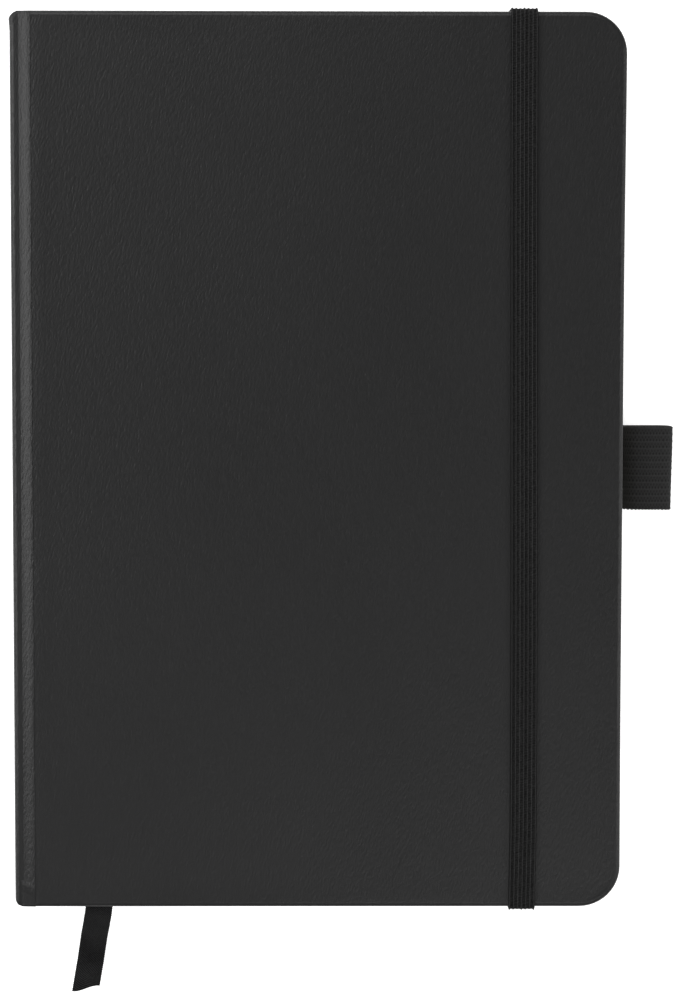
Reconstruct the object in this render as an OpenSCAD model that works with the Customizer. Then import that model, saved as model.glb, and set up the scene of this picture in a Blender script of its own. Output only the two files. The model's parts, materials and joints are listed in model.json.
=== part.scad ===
/* [Cover] */
// Width of the closed cover from the spine to the fore-edge
cover_w = 145; // [141:1:150]
// Height of the cover from tail to head
cover_h = 213; // [208:1:218]
// Thickness of the closed book
book_t = 17; // [17:0.5:19]
// Thickness of each cover board
board_t = 2; // [1.6:0.1:2]
// Thickness of the leatherette
skin_t = 0.5; // [0.4:0.05:0.5]
// Radius of the two rounded fore-edge corners
corner_r = 9.5; // [8:0.5:12]
// Width of the spine, seen from the front
spine_w = 1.9; // [1.8:0.1:2]
// Width of the flexible joint between the spine and a cover board
joint_w = 3.1; // [3:0.1:3.4]
// Depth of the pressed groove along the joint
groove_d = 0.9; // [0.5:0.1:1]

/* [Pages] */
// Margin by which the cover stands past the pages
square_w = 3; // [2.5:0.5:4]
// Thickness of one sheet of drawing paper
leaf_t = 0.135; // [0.11:0.005:0.14]
// Distance from one turning leaf to the next
leaf_pitch = 0.215; // [0.2:0.005:0.22]

/* [Closure band] */
// Width of the elastic closure band
band_w = 6.4; // [5:0.1:8]
// Thickness of the elastic closure band
band_t = 0.9; // [0.7:0.05:0.9]
// Distance of the band's centre line from the fore-edge
band_from_edge = 23.6; // [20:0.1:30]
// Length of each glued end of the band
band_end_l = 18; // [12:1:25]

/* [Pen loop] */
// Width of the pen loop's webbing
loop_w = 20; // [16:1:24]
// Thickness of the pen loop's webbing
loop_t = 1; // [0.8:0.1:1]
// Height of the pen loop's opening while it is empty
loop_gap = 4.4; // [4.2:0.1:4.8]
// How far the pen loop reaches past the fore-edge
loop_reach = 13.2; // [11.5:0.1:14]
// Place of the pen loop's centre along the fore-edge, from the middle
loop_y = -1.3; // [-20:0.1:20]
// Length of the pen loop's glued tab
loop_tab_l = 19; // [14:1:22]

/* [Ribbon] */
// Width of the ribbon marker
ribbon_w = 6.3; // [5:0.1:7]
// Thickness of the ribbon marker
ribbon_t = 0.22; // [0.15:0.01:0.24]

/* [Hidden] */
$fn = 64;

// The frame: z = 0 is the outer face of the back cover, +X runs from the spine to the
// fore-edge, +Y from tail to head, and the origin is the middle of the back cover.
half_w = cover_w / 2;
half_h = cover_h / 2;
spine_in_x = -half_w + spine_w;
board_x = spine_in_x + joint_w;
paste_t = 0.2;
turn_in_t = 0.3;
play = 0.05;
glue_t = 0.02;
hair = 0.01;
cut = 1;
fine_fn = 24;

// Colours.
CHARCOAL = [0.17, 0.17, 0.175];
GROOVE = [0.2, 0.2, 0.21];
GREY_BOARD = [0.55, 0.53, 0.48];
ENDPAPER = [0.93, 0.91, 0.84];
DRAWING_PAPER = [0.96, 0.945, 0.89];
SEWN_PAPER = [0.95, 0.93, 0.87];
LINEN = [0.9, 0.9, 0.86];
GAUZE = [0.85, 0.84, 0.78];
KRAFT = [0.7, 0.62, 0.48];
BEAD = [0.1, 0.1, 0.1];
SATIN = [0.11, 0.11, 0.115];
ELASTIC = [0.14, 0.14, 0.14];
WEBBING = [0.13, 0.13, 0.13];

// Heights of the back cover's layers; the front cover is the same, turned over.
board_top = skin_t + board_t;
paste_top = board_top + paste_t;
page_x = half_w - square_w;
page_y = half_h - square_w;
page_r = corner_r - square_w;

// The block: a fixed flyleaf and sewn sections below, six turning leaves above.
leaf_count = 6;
section_count = 10;
flyleaf_gap = 0.03;
leaf_room = 0.1;
front_gap = 0.19;
leaves_top = book_t - paste_top - front_gap - leaf_room;
leaves_z = leaves_top - (leaf_count - 1) * leaf_pitch - leaf_t;
ribbon_room = 0.4;
sections_z = paste_top + leaf_t + leaf_room;
sections_top = leaves_z - ribbon_room;
section_pitch = (sections_top - sections_z) / section_count;
section_gap = 0.02;
section_t = section_pitch - section_gap;
fold_gap = 0.9;
leaf_gap = 1.6;
fold_x = spine_in_x + fold_gap;
leaf_x = spine_in_x + leaf_gap;

// Spine parts between the block and the spine board.
spine_skin_bottom = 0.15;
spine_top_drop = 0.4;
spine_skin_top = book_t - spine_top_drop;
spine_round_r = 1.4;
spine_board_t = 0.9;
spine_board_trim = 0.7;
spine_board_inset = 1.6;
spine_board_half_h = half_h - skin_t - spine_board_inset;
thread_r = 0.15;
thread_stations = 6;
thread_margin = 14;
mull_t = 0.12;
mull_margin = 6;
liner_t = 0.15;
mull_x = fold_x - 2 * thread_r - 2 * glue_t - mull_t;
liner_x = mull_x - glue_t - liner_t;
headband_r = 0.75;
headband_inset = 0.9;

// The closure band: glued ends let into the back cover, legs at head and tail, front run.
band_x = half_w - band_from_edge;
band_gap = 0.1;
band_end_top = board_top - glue_t;
band_end_z = band_end_top - band_t;
band_y0 = half_h + band_gap;
band_run_z = book_t + play;
recess_play = 0.1;

// The pen loop: two half rounds joined by straight runs, on a neck level with its tab.
loop_out_r = loop_gap / 2 + loop_t;
loop_in_r = loop_gap / 2;
loop_tab_z = board_top - play - loop_t;
loop_z = loop_tab_z + loop_out_r;
loop_far_x = half_w + loop_reach - loop_out_r;
loop_neck = 0.7;
loop_near_x = half_w + loop_neck + loop_out_r;
loop_hinge_x = half_w + play + loop_t / 2;

// The ribbon's route: along the top of the sewn sections and out over the tail edge,
// down to the surface that the book lies on.
ribbon_route = [
    [-65.2, 103, 12.6], [-64.2, 87, 12.6], [-63.2, 71, 12.6], [-62.2, 55, 12.6],
    [-61.2, 39, 12.6], [-60.2, 23, 12.6], [-59.2, 7, 12.6], [-58.2, -9, 12.6],
    [-57.2, -25, 12.6], [-56.2, -41, 12.6], [-55.2, -57, 12.6], [-54.2, -73, 12.6],
    [-53.3, -89, 12.6], [-52.7, -100, 12.6], [-52.5, -104, 12.5], [-52.55, -106.5, 12],
    [-52.85, -109, 10.8], [-53.25, -111, 9.3], [-53.65, -113, 7.4], [-54.1, -115, 5.4],
    [-54.5, -117, 3.6], [-54.85, -119, 2.1], [-55.2, -121, 1.1], [-55.6, -123.5, 0.45],
    [-56.05, -126, 0.2], [-56.95, -131.2, 0.2]];

// A rectangle from x0 to x1, centred on y, with its two corners at x1 rounded.
module plan(x0, x1, half_y, r) {
    translate([x0, -half_y])
        square([x1 - r - x0, 2 * half_y]);
    translate([x1 - r - hair, -half_y + r])
        square([r + hair, 2 * (half_y - r)]);
    for (side = [-1, 1])
        translate([x1 - r, side * (half_y - r)])
            circle(r);
}

module slab(x0, x1, half_y, r, z0, z1) {
    translate([0, 0, z0])
        linear_extrude(z1 - z0)
            plan(x0, x1, half_y, r);
}

module box(x0, x1, y0, y1, z0, z1) {
    translate([x0, y0, z0])
        cube([x1 - x0, y1 - y0, z1 - z0]);
}

// Carries an outline drawn in x and z along the whole height of the cover.
module along_cover(half_y) {
    translate([0, half_y, 0])
        rotate([90, 0, 0])
            linear_extrude(2 * half_y)
                children();
}

module to_front() {
    translate([0, 0, book_t])
        mirror([0, 0, 1])
            children();
}

// Recesses in the back cover's inner face for the glued ends of the elastics.
module elastic_recesses() {
    reach = 2;
    for (side = [-1, 1])
        mirror([0, side < 0 ? 1 : 0, 0])
            box(band_x - band_w / 2 - recess_play, band_x + band_w / 2 + recess_play,
                half_h - band_end_l - recess_play, half_h + reach, band_end_z, book_t / 2);
    box(half_w - loop_tab_l - recess_play, half_w + reach, loop_y - loop_w / 2 - recess_play,
        loop_y + loop_w / 2 + recess_play, loop_tab_z, book_t / 2);
}

module cover_board() {
    slab(board_x, half_w - skin_t, half_h - skin_t, corner_r - skin_t, skin_t, board_top);
}

// Leatherette round a board: the outer face, the edges and the turned-in margin.
module cover_wrap() {
    difference() {
        slab(board_x, half_w, half_h, corner_r, 0, board_top + turn_in_t);
        slab(board_x - cut, half_w - skin_t, half_h - skin_t, corner_r - skin_t, skin_t, board_top);
        slab(board_x - cut, page_x, page_y, page_r, board_top - hair, board_top + cut);
    }
}

module pastedown() {
    slab(board_x, page_x - play, page_y - play, page_r, board_top, paste_top);
}

// The joint's sagging strip: a shallow sine groove of constant thickness.
module joint_strip() {
    steps = 16;
    lift = 0.1;
    x0 = spine_in_x + play;
    x1 = board_x - play;
    outer = [for (i = [0 : steps])
        [x0 + (x1 - x0) * i / steps, lift + groove_d * sin(180 * i / steps)]];
    inner = [for (i = [steps : -1 : 0]) [outer[i].x, outer[i].y + skin_t]];
    color(GROOVE)
        along_cover(half_h)
            polygon(concat(outer, inner));
}

module front_cover_skin() {
    color(CHARCOAL)
        to_front()
            cover_wrap();
}

module front_board() {
    color(GREY_BOARD)
        to_front()
            cover_board();
}

module front_pastedown() {
    color(ENDPAPER)
        to_front()
            pastedown();
}

module front_joint_skin() {
    to_front()
        joint_strip();
}

// The spine's section, square towards the pages and rounded on the outside.
module spine_outline(inset) {
    r = spine_round_r - inset;
    x0 = -half_w + inset;
    z0 = spine_skin_bottom + inset;
    z1 = spine_skin_top - inset;
    translate([x0, z0 + r])
        square([spine_in_x - x0, z1 - z0 - 2 * r]);
    intersection() {
        translate([x0, z0])
            square([spine_in_x - x0, z1 - z0]);
        union() {
            translate([x0 + r, z0])
                square([spine_w, z1 - z0]);
            for (z = [z0 + r, z1 - r])
                translate([x0 + r, z])
                    circle(r);
        }
    }
}

module spine_skin() {
    color(CHARCOAL)
        difference() {
            along_cover(half_h)
                spine_outline(0);
            along_cover(half_h - skin_t)
                spine_outline(skin_t);
            box(-half_w + skin_t + spine_board_t, 0, -half_h + skin_t, half_h - skin_t,
                spine_skin_bottom + skin_t, spine_skin_top - skin_t);
        }
}

module spine_board() {
    color(GREY_BOARD)
        box(-half_w + skin_t, -half_w + skin_t + spine_board_t, -spine_board_half_h, spine_board_half_h,
            spine_skin_bottom + skin_t + spine_board_trim, spine_skin_top - skin_t - spine_board_trim);
}

module back_joint_skin() {
    joint_strip();
}

module back_cover_skin() {
    color(CHARCOAL)
        difference() {
            cover_wrap();
            elastic_recesses();
        }
}

module back_board() {
    color(GREY_BOARD)
        difference() {
            cover_board();
            elastic_recesses();
        }
}

module back_pastedown() {
    color(ENDPAPER)
        pastedown();
}

module page(z0) {
    color(DRAWING_PAPER)
        slab(leaf_x, page_x, page_y, page_r, z0, z0 + leaf_t);
}

module back_flyleaf() {
    page(paste_top + flyleaf_gap);
}

// Turning leaves are counted downwards from the flyleaf, which is leaf 0.
module turning_leaf(i) {
    page(leaves_top - leaf_t - i * leaf_pitch);
}

// A sewn section: flat sheets with a half-round fold at the spine.
module section(i) {
    r = section_t / 2;
    z0 = sections_z + (i - 1) * section_pitch;
    steps = 8;
    fold = [for (k = [0 : steps])
        [fold_x + r - r * sin(180 * k / steps), z0 + r + r * cos(180 * k / steps)]];
    color(SEWN_PAPER)
        intersection() {
            along_cover(page_y)
                polygon(concat(fold, [[page_x, z0], [page_x, z0 + section_t]]));
            slab(fold_x - cut, page_x, page_y + cut, page_r + cut, z0 - cut, z0 + section_t + cut);
        }
}

module sewing_thread() {
    first_y = page_y - thread_margin;
    color(LINEN)
        for (i = [0 : thread_stations - 1])
            translate([fold_x - thread_r - hair, first_y * (2 * i / (thread_stations - 1) - 1), sections_z])
                cylinder(r = thread_r, h = sections_top - sections_z, $fn = fine_fn);
}

module mull() {
    color(GAUZE)
        box(mull_x, mull_x + mull_t, -page_y + mull_margin, page_y - mull_margin, sections_z, sections_top);
}

module spine_liner() {
    color(KRAFT)
        box(liner_x, liner_x + liner_t, -page_y, page_y, sections_z, sections_top);
}

// A woven bead across the end of the block, at its spine.
module end_band(side) {
    color(BEAD)
        translate([fold_x + headband_inset, side * (page_y + headband_r + glue_t), sections_z])
            cylinder(r = headband_r, h = sections_top - sections_z, $fn = fine_fn);
}

// One ring of the ribbon: a flat eight-sided outline across the route at point i.
function route_dir(i) =
    let (a = ribbon_route[max(i - 1, 0)], b = ribbon_route[min(i + 1, len(ribbon_route) - 1)])
    (b - a) / norm(b - a);
function ribbon_ring(i) =
    let (t = route_dir(i), flat = norm([t.x, t.y]), side = [-t.y, t.x, 0] / flat, up = cross(t, side) * -1,
        w = ribbon_w / 2, h = ribbon_t / 2, b = h / 2,
        outline = [[w, b], [w - b, h], [b - w, h], [-w, b], [-w, -b], [b - w, -h], [w - b, -h], [w, -b]])
    [for (p = outline) ribbon_route[i] + side * p.x - up * p.y];

module ribbon_marker() {
    sides = 8;
    last = len(ribbon_route) - 1;
    points = [for (i = [0 : last]) each ribbon_ring(i)];
    walls = [for (i = [0 : last - 1], k = [0 : sides - 1])
        let (a = i * sides + k, b = i * sides + (k + 1) % sides) [a, b, b + sides, a + sides]];
    first_cap = [for (k = [sides - 1 : -1 : 0]) k];
    last_cap = [for (k = [0 : sides - 1]) last * sides + k];
    color(SATIN)
        polyhedron(points, concat(walls, [first_cap, last_cap]), convexity = 4);
}

module closure_band_front() {
    color(ELASTIC)
        box(band_x - band_w / 2, band_x + band_w / 2, -band_y0 - band_t, band_y0 + band_t,
            band_run_z, band_run_z + band_t);
}

module band_leg(side) {
    color(ELASTIC)
        mirror([0, side < 0 ? 1 : 0, 0])
            box(band_x - band_w / 2, band_x + band_w / 2, band_y0, band_y0 + band_t,
                band_end_z, band_run_z - play);
}

module band_end(side) {
    color(ELASTIC)
        mirror([0, side < 0 ? 1 : 0, 0])
            box(band_x - band_w / 2, band_x + band_w / 2, half_h - band_end_l, band_y0,
                band_end_z, band_end_top);
}

module pen_loop_tab() {
    color(WEBBING)
        box(half_w - loop_tab_l, half_w, loop_y - loop_w / 2, loop_y + loop_w / 2,
            loop_tab_z, loop_tab_z + loop_t);
}

module loop_oval(r) {
    translate([loop_near_x, loop_z - r])
        square([loop_far_x - loop_near_x, 2 * r]);
    for (x = [loop_near_x, loop_far_x])
        translate([x, loop_z])
            circle(r);
}

module pen_loop() {
    neck_z = loop_tab_z + loop_t / 2;
    color(WEBBING)
        translate([0, loop_y + loop_w / 2, 0])
            rotate([90, 0, 0])
                linear_extrude(loop_w)
                    difference() {
                        union() {
                            loop_oval(loop_out_r);
                            translate([loop_hinge_x, loop_tab_z])
                                square([loop_near_x - loop_hinge_x, loop_t]);
                            translate([loop_hinge_x, neck_z])
                                circle(loop_t / 2);
                        }
                        loop_oval(loop_in_r);
                    }
}

front_cover_skin();
front_board();
front_pastedown();
front_joint_skin();
spine_skin();
spine_board();
back_joint_skin();
back_cover_skin();
back_board();
back_pastedown();
back_flyleaf();
turning_leaf(0);  // front_flyleaf
turning_leaf(1);  // leaf_1
turning_leaf(2);  // leaf_2
turning_leaf(3);  // leaf_3
turning_leaf(4);  // leaf_4
turning_leaf(5);  // leaf_5
section(1);  // section_01
section(2);  // section_02
section(3);  // section_03
section(4);  // section_04
section(5);  // section_05
section(6);  // section_06
section(7);  // section_07
section(8);  // section_08
section(9);  // section_09
section(10);  // section_10
sewing_thread();
mull();
spine_liner();
end_band(1);  // headband
end_band(-1);  // tailband
ribbon_marker();
closure_band_front();
band_leg(1);  // closure_band_head_leg
band_leg(-1);  // closure_band_tail_leg
band_end(1);  // closure_band_head_end
band_end(-1);  // closure_band_tail_end
pen_loop_tab();
pen_loop();
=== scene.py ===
"""Looks of a casebound sketchbook with a closure band, a pen loop and a ribbon marker."""

import json
import logging
import math
from dataclasses import dataclass, field
from enum import Enum
from typing import Any, Sequence

import bmesh
import bpy
import numpy as np
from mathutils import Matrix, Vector


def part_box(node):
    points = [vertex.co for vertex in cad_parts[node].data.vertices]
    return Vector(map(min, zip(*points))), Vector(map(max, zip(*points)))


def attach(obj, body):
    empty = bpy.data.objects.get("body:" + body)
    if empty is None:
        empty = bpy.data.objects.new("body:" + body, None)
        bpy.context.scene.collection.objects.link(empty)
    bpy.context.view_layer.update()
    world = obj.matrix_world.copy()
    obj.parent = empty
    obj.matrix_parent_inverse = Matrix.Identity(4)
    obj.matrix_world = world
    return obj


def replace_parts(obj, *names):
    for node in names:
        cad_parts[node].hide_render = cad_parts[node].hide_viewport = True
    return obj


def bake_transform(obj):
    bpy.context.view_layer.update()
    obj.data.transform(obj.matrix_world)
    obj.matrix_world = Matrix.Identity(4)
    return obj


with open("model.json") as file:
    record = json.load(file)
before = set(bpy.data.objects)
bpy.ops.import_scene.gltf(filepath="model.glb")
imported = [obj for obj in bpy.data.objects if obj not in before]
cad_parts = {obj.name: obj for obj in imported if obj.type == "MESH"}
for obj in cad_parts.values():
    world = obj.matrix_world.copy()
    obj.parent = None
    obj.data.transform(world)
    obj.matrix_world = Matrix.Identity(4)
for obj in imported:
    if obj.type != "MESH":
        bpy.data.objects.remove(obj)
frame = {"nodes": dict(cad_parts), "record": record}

LOG = logging.getLogger("sketchbook")
MM = 0.001
CLOTH_CREASE = 75.0
Array = np.ndarray


class Body(Enum):
    """The bodies that pieces ride on."""

    BOOK = "book"
    COVER = "front_cover"
    BAND = "closure_band"
    LOOP = "pen_loop"


class Slot(Enum):
    """The record's finishes."""

    LEATHERETTE = "leatherette"
    GREYBOARD = "greyboard"
    ENDPAPER = "endpaper"
    DRAWING_PAPER = "drawing_paper"
    THREAD = "thread"
    GAUZE = "gauze"
    KRAFT = "kraft_paper"
    WOVEN_BAND = "woven_band"
    RIBBON = "satin_ribbon"
    ELASTIC = "elastic"
    WEBBING = "webbing"


# ---------------------------------------------------------------- shader maths


class Link:
    """A node's output socket that takes part in Python arithmetic."""

    def __init__(self, graph: "Graph", socket: bpy.types.NodeSocket) -> None:
        """Keeps the socket and the graph it is in.

        Args:
            graph: the node tree's wrapper.
            socket: the output socket.
        """
        self.graph = graph
        self.socket = socket

    def _math(self, operation: str, *others: Any) -> "Link":
        """Adds a Math node with this value first.

        Args:
            operation: the Math node's operation.
            others: the further operands.

        Returns:
            The node's result.
        """
        return self.graph.node("ShaderNodeMath", {"operation": operation}, [self, *others])

    def __add__(self, other: Any) -> "Link":
        """Sum."""
        return self._math("ADD", other)

    __radd__ = __add__

    def __mul__(self, other: Any) -> "Link":
        """Product."""
        return self._math("MULTIPLY", other)

    __rmul__ = __mul__

    def __sub__(self, other: Any) -> "Link":
        """Difference."""
        return self._math("SUBTRACT", other)

    def __rsub__(self, other: Any) -> "Link":
        """Difference, taken from a number."""
        return self.graph.node("ShaderNodeMath", {"operation": "SUBTRACT"}, [other, self])

    def __pow__(self, other: Any) -> "Link":
        """Power."""
        return self._math("POWER", other)

    def sin(self) -> "Link":
        """Sine of the value in radians."""
        return self._math("SINE")

    def abs(self) -> "Link":
        """Size without its sign."""
        return self._math("ABSOLUTE")

    def floor(self) -> "Link":
        """Whole part."""
        return self._math("FLOOR")


class Graph:
    """A material's node tree, and the one method that adds nodes to it."""

    def __init__(self, name: str) -> None:
        """Makes an empty material.

        Args:
            name: the material's name.
        """
        self.material = bpy.data.materials.new(name)
        self.material.use_nodes = True
        self.tree = self.material.node_tree
        self.tree.nodes.clear()

    def add(self, kind: str, settings: dict[str, Any], inputs: Any) -> bpy.types.Node:
        """Adds a node, sets it up and fills its inputs.

        Args:
            kind: the node's type.
            settings: attributes that are set first.
            inputs: values or links, by name or in order.

        Returns:
            The node.
        """
        node = self.tree.nodes.new(kind)
        for key, value in settings.items():
            setattr(node, key, value)
        pairs = inputs.items() if isinstance(inputs, dict) else enumerate(inputs)
        for key, value in pairs:
            if isinstance(value, Link):
                self.tree.links.new(value.socket, node.inputs[key])
            else:
                node.inputs[key].default_value = value
        return node

    def node(self, kind: str, settings: dict[str, Any], inputs: Any, output: str | int = 0) -> Link:
        """Adds a node and gives one of its outputs.

        Args:
            kind: the node's type.
            settings: attributes that are set first.
            inputs: values or links, by name or in order.
            output: the output's name or number.

        Returns:
            The output as a link.
        """
        return Link(self, self.add(kind, settings, inputs).outputs[output])

    def place(self, scale: Sequence[float], turn: float = 0.0) -> Link:
        """Object coordinates divided by a size along each axis, after a turn about Z.

        Args:
            scale: the pattern's size along x, y and z, in metres.
            turn: the turn in degrees.

        Returns:
            The coordinates.
        """
        coords = self.node("ShaderNodeTexCoord", {}, {}, "Object")
        turned = self.node(
            "ShaderNodeMapping", {"vector_type": "TEXTURE"},
            {"Vector": coords, "Rotation": (0, 0, math.radians(turn)), "Scale": tuple(scale)},
        )
        return turned

    def noise(self, where: Link, detail: float = 2.0, roughness: float = 0.5) -> Link:
        """Noise of scale 1 at the coordinates given, from 0 to 1."""
        return self.node("ShaderNodeTexNoise", {}, {
            "Vector": where, "Scale": 1.0, "Detail": detail, "Roughness": roughness}, "Fac")

    def cells(self, where: Link, smooth: float = 0.6) -> Link:
        """Distance to the nearest of scattered points, smoothed, at the coordinates given."""
        return self.node("ShaderNodeTexVoronoi", {"feature": "SMOOTH_F1"}, {
            "Vector": where, "Scale": 1.0, "Smoothness": smooth}, "Distance")

    def split(self, where: Link) -> tuple[Link, Link, Link]:
        """The three parts of a vector."""
        node = self.add("ShaderNodeSeparateXYZ", {}, [where])
        return tuple(Link(self, node.outputs[i]) for i in range(3))

    def cloth(self) -> tuple[Link, Link]:
        """The piece's own map: across and along the cloth, both in millimetres."""
        across, along, _ = self.split(self.node("ShaderNodeUVMap", {"uv_map": "cloth"}, {}))
        return across, along

    def tint(self, amount: Link, low: Sequence[float], high: Sequence[float]) -> Link:
        """A colour between low and high by amount."""
        settings = {"data_type": "RGBA"}
        node = self.add("ShaderNodeMix", settings, {0: amount, 6: (*low, 1), 7: (*high, 1)})
        return Link(self, node.outputs[2])

    def finish(
        self, colour: Link, roughness: Any, height: Link, depth: float, **constants: float,
    ) -> bpy.types.Material:
        """Closes the tree with a Principled shader.

        Args:
            colour: the base colour.
            roughness: the roughness, as a link or a number.
            height: the height that the bump is made from, about 0 to 1.
            depth: the height's depth in metres.
            constants: further socket values, with _ for a space in the name.

        Returns:
            The finished material.
        """
        normal = self.node("ShaderNodeBump", {}, {"Strength": 1.0, "Distance": depth, "Height": height})
        inputs = {"Base Color": colour, "Roughness": roughness, "Normal": normal}
        inputs.update({key.replace("_", " "): value for key, value in constants.items()})
        shader = self.node("ShaderNodeBsdfPrincipled", {}, inputs)
        self.add("ShaderNodeOutputMaterial", {}, {"Surface": shader})
        return self.material


# ---------------------------------------------------------------- finishes


@dataclass(frozen=True)
class Leatherette:
    """Matt charcoal leatherette with a fine grain that runs a little off the vertical."""

    dark: tuple[float, float, float] = (0.0048, 0.0048, 0.0050)
    light: tuple[float, float, float] = (0.0112, 0.0112, 0.0114)
    grain_turn: float = -15.0
    grain_depth: float = 0.125

    def make(self) -> bpy.types.Material:
        """Builds the material: long soft grain, small pebbles and broad mottling."""
        g = Graph("Charcoal_Leatherette")
        streaks = g.noise(g.place((0.5 * MM, 1.7 * MM, 0.5 * MM), self.grain_turn), 3.0, 0.6)
        pebbles = g.cells(g.place((0.5 * MM, 0.95 * MM, 0.5 * MM), self.grain_turn * 0.4))
        broad = g.noise(g.place((24 * MM, 46 * MM, 28 * MM), 20.0), 2.0)
        grain = streaks * 0.7 + pebbles * 0.3
        colour = g.tint(grain * 0.5 + broad * 0.5, self.dark, self.light)
        return g.finish(colour, 0.36 + grain * 0.16, grain, self.grain_depth * MM, Specular_IOR_Level=0.42)


@dataclass(frozen=True)
class Elastic:
    """Black ribbed elastic with a short knitted stitch along each rib."""

    # Painted light: the ridges' colour carries a painted highlight, and the colour between the ridges is
    # painted shade.
    thread: tuple[float, float, float] = (0.047, 0.047, 0.047)
    shaded_gap: tuple[float, float, float] = (0.004, 0.004, 0.004)
    pitch: float = 0.967
    stitch: float = 0.62

    def make(self) -> bpy.types.Material:
        """Builds the material: ridges a pitch apart with a painted highlight and painted shade between them,
        dotted by stitches.
        """
        g = Graph("Ribbed_Elastic")
        across, along = g.cloth()
        rib = across * (1 / self.pitch)
        ridge = ((rib * math.pi).sin().abs() * -1 + 1) ** 3
        phase = rib.floor() * 2.4
        stitches = (along * (2 * math.pi / self.stitch) + phase).sin() * 0.5 + 0.5
        fuzz = g.noise(g.place((0.38 * MM, 0.45 * MM, 0.38 * MM)), 2.0, 0.7)
        # The ridge term paints a highlight on each ridge and shade between the ridges; the stitches and fuzz
        # are the knit's own tone.
        shade = ridge * 0.7 + (stitches - 0.5) * 0.55 * (ridge + 0.3) + (fuzz - 0.5) * 0.9 + 0.14
        colour = g.tint(shade, self.shaded_gap, self.thread)
        height = stitches * 0.4 + fuzz * 0.6
        return g.finish(colour, 0.85, height, 0.12 * MM, Specular_IOR_Level=0.12)


@dataclass(frozen=True)
class Webbing:
    """Black woven elastic with raised lines along it and staggered pits between them; the lines carry a
    painted highlight and the pits painted shade.
    """

    # Painted light: the lighter colour is a painted highlight on the raised lines, and the pits' colour is
    # painted shade.
    thread: tuple[float, float, float] = (0.046, 0.046, 0.046)
    pit_shade: tuple[float, float, float] = (0.004, 0.004, 0.004)
    line_gap: float = 1.63
    pick: float = 0.74

    def make(self) -> bpy.types.Material:
        """Builds the material: a deep row of pits on one side of each line, a shallow one on the other; the
        colour follows the height, so the pits get painted shade and the lines a painted highlight.
        """
        g = Graph("Woven_Webbing")
        across, along = g.cloth()
        row = across * (2 * math.pi / self.line_gap)
        picks = (along * (2 * math.pi / self.pick)).sin()
        deep = (row.sin() * 0.5 + 0.5) ** 3 * (picks * 0.5 + 0.5) ** 2
        shallow = ((row + 3.64).sin() * 0.5 + 0.5) ** 3 * (0.5 - picks * 0.5) ** 2
        line = (1 - (row * 0.5).sin().abs()) ** 4
        fuzz = g.noise(g.place((0.3 * MM, 0.3 * MM, 0.3 * MM)), 2.0, 0.65)
        height = line * 0.16 - deep * 0.48 - shallow * 0.3 + (fuzz - 0.5) * 0.45 + 0.6
        # The colour follows the height: painted shade in the pits and a painted highlight on the raised
        # lines, with the fuzz as the weave's own tone.
        colour = g.tint(height, self.pit_shade, self.thread)
        return g.finish(colour, 0.85, height, 0.09 * MM, Specular_IOR_Level=0.12)


@dataclass(frozen=True)
class Satin:
    """Black satin ribbon with a fine diagonal float."""

    dark: tuple[float, float, float] = (0.0004, 0.0004, 0.0004)
    light: tuple[float, float, float] = (0.0330, 0.0330, 0.0336)
    float_pitch: float = 0.58

    def make(self) -> bpy.types.Material:
        """Builds the material: diagonal floats, broken up by fuzz."""
        g = Graph("Satin_Ribbon")
        across, along = g.cloth()
        floats = ((across * 0.8 - along) * (2 * math.pi / self.float_pitch)).sin() * 0.5 + 0.5
        fuzz = g.noise(g.place((0.35 * MM, 0.5 * MM, 0.35 * MM)), 2.0)
        sheen = g.noise(g.place((9 * MM, 7 * MM, 9 * MM)), 1.0)
        colour = g.tint(floats * 0.75 + (fuzz - 0.5) * 0.9 + (sheen - 0.35) * 0.6, self.dark, self.light)
        return g.finish(colour, 0.7 + fuzz * 0.12, floats, 0.05 * MM, Specular_IOR_Level=0.03)


@dataclass(frozen=True)
class Paper:
    """Uncoated paper: a soft tooth on its faces and fine sheet lines on its cut edges."""

    name: str
    dark: tuple[float, float, float]
    light: tuple[float, float, float]
    sheet: float = 0.118
    line_depth: float = 0.035

    def make(self) -> bpy.types.Material:
        """Builds the material: the lines follow height, so a level face shows none."""
        g = Graph(self.name)
        _, _, up = g.split(g.place((1.0, 1.0, 1.0)))
        drift = g.noise(g.place((9 * MM, 9 * MM, 0.6 * MM)), 2.0)
        lines = (up * (2 * math.pi / (self.sheet * MM)) + drift * 5.0).sin() * 0.5 + 0.5
        tooth = g.noise(g.place((0.35 * MM, 0.35 * MM, 0.35 * MM)), 3.0, 0.6)
        flecks = g.noise(g.place((3 * MM, 5 * MM, 3 * MM)), 3.0)
        colour = g.tint(tooth * 0.25 + flecks * 0.35 + lines * 0.4, self.dark, self.light)
        return g.finish(colour, 0.86, lines * 0.6 + tooth * 0.4, self.line_depth * MM, Specular_IOR_Level=0.2)


@dataclass(frozen=True)
class Fibre:
    """A plain fibrous finish: board, lining paper, gauze, thread or a woven bead."""

    name: str
    dark: tuple[float, float, float]
    light: tuple[float, float, float]
    size: tuple[float, float, float]
    depth: float
    weave: float = 0.0
    roughness: float = 0.88

    def make(self) -> bpy.types.Material:
        """Builds the material: noise of the fibre's size, crossed by threads where it is woven."""
        g = Graph(self.name)
        fibre = g.noise(g.place([s * MM for s in self.size]), 4.0, 0.65)
        height = fibre
        if self.weave:
            _, y, z = g.split(g.place((MM, MM, MM)))
            turn = 2 * math.pi / self.weave
            height = fibre * 0.3 + ((y * turn).sin() + (z * turn).sin()) * 0.17 + 0.35
        colour = g.tint(height, self.dark, self.light)
        return g.finish(colour, self.roughness, height, self.depth * MM, Specular_IOR_Level=0.25)


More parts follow.
